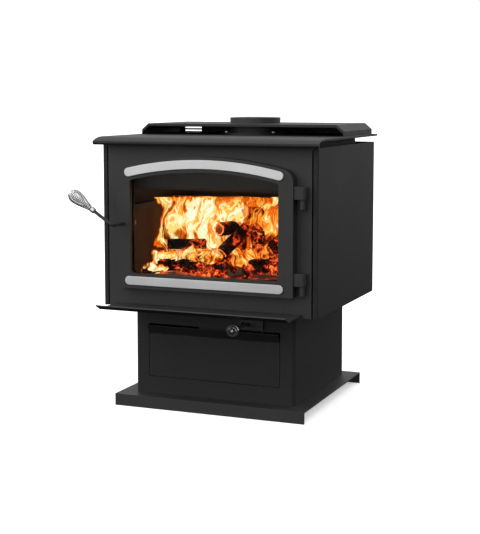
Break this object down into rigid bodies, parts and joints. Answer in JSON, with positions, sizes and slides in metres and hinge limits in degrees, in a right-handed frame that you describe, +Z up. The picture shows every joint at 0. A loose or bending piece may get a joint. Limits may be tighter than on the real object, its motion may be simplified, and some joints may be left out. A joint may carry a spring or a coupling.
{
  "type": "wood burning stove",
  "caption": "Pedestal wood burning stove with an arched glass door on two lift-off hinges, coil handle, raised convection deck, flue collar, ash drawer, sliding air control and lined firebox.",
  "frame": {"origin": "middle of the base plate's front lower edge, on the floor", "axes": "+X to the right seen from the door, +Y to the back, +Z up"},
  "size_m": [0.7311, 0.6834, 0.842],
  "materials": {
    "black_paint": "satin high-temperature charcoal paint",
    "cast_iron": "painted cast iron, satin",
    "galvanised_steel": "galvanised sheet",
    "zinc_fasteners": "zinc plated",
    "firebrick": "dry refractory brick, sooty",
    "scorched_steel": "heat-scaled steel",
    "stainless_tube": "heat-tinted stainless",
    "fibre_board": "ceramic fibre board",
    "ceramic_glass": "clear ceramic glass with a faint smoke tint",
    "gasket": "woven glass-fibre rope",
    "brushed_bar": "brushed satin nickel",
    "chrome_wire": "bright chromed spring wire"
  },
  "bodies": {
    "stove": {"base_plate": "black_paint", "pedestal_shell": "black_paint", "pedestal_back": "black_paint", "drawer_runners": "galvanised_steel", "body_floor": "black_paint", "firebox_sides": "black_paint", "firebox_back_plate": "black_paint", "firebox_roof": "black_paint", "firebox_floor": "black_paint", "front_plate": "black_paint", "side_jacket_left": "black_paint", "side_jacket_right": "black_paint", "rear_shield": "black_paint", "jacket_standoffs": "galvanised_steel", "top_plate": "black_paint", "convection_deck": "black_paint", "deck_back_panel": "black_paint", "flue_collar": "cast_iron", "collar_flange": "cast_iron", "collar_bolts": "zinc_fasteners", "ash_shelf": "black_paint", "shelf_screws": "zinc_fasteners", "ash_chute": "black_paint", "floor_bricks": "firebrick", "plug_brick": "firebrick", "left_bricks": "firebrick", "right_bricks": "firebrick", "rear_bricks": "firebrick", "brick_retainers": "scorched_steel", "airwash_deflector": "scorched_steel", "tube_manifolds": "scorched_steel", "secondary_tubes": "stainless_tube", "baffle_boards": "fibre_board", "hinge_brackets": "black_paint", "hinge_pins": "zinc_fasteners", "latch_keeper": "scorched_steel", "damper_guides": "galvanised_steel", "air_guide": "black_paint"},
    "door": {"door_frame": "cast_iron", "door_hinge_blocks": "black_paint", "door_glass": "ceramic_glass", "glass_tape": "gasket", "glass_clips": "galvanised_steel", "clip_screws": "zinc_fasteners", "door_rope": "gasket", "top_bar": "brushed_bar", "bottom_bar": "brushed_bar"},
    "handle": {"handle_rod": "black_paint", "handle_ferrule": "zinc_fasteners", "handle_coil": "chrome_wire", "latch_cam": "scorched_steel", "latch_nut": "zinc_fasteners"},
    "air_control": {"air_rod": "zinc_fasteners", "air_knob": "chrome_wire", "damper_plate": "galvanised_steel"},
    "ash_drawer": {"drawer_front": "black_paint", "drawer_pan": "galvanised_steel"},
    "ash_plug": {"ash_plug": "cast_iron"}
  },
  "joints": [
    {"name": "door_swing", "type": "hinge", "parent": "stove", "child": "door", "pos_m": [0.291, -0.012, 0.5], "axis": [0, 0, 1], "range_deg": [0, 115]},
    {"name": "handle_turn", "type": "hinge", "parent": "door", "child": "handle", "pos_m": [-0.248, -0.05, 0.543], "axis": [0, 1, 0], "range_deg": [0, 90]},
    {"name": "air_slide", "type": "slide", "parent": "stove", "child": "air_control", "axis": [0, -1, 0], "range_m": [-0.03, 0.02]},
    {"name": "drawer_slide", "type": "slide", "parent": "stove", "child": "ash_drawer", "axis": [0, -1, 0], "range_m": [0, 0.3]},
    {"name": "plug_lift", "type": "slide", "parent": "stove", "child": "ash_plug", "axis": [0, 0, 1], "range_m": [0, 0.05]}
  ]
}
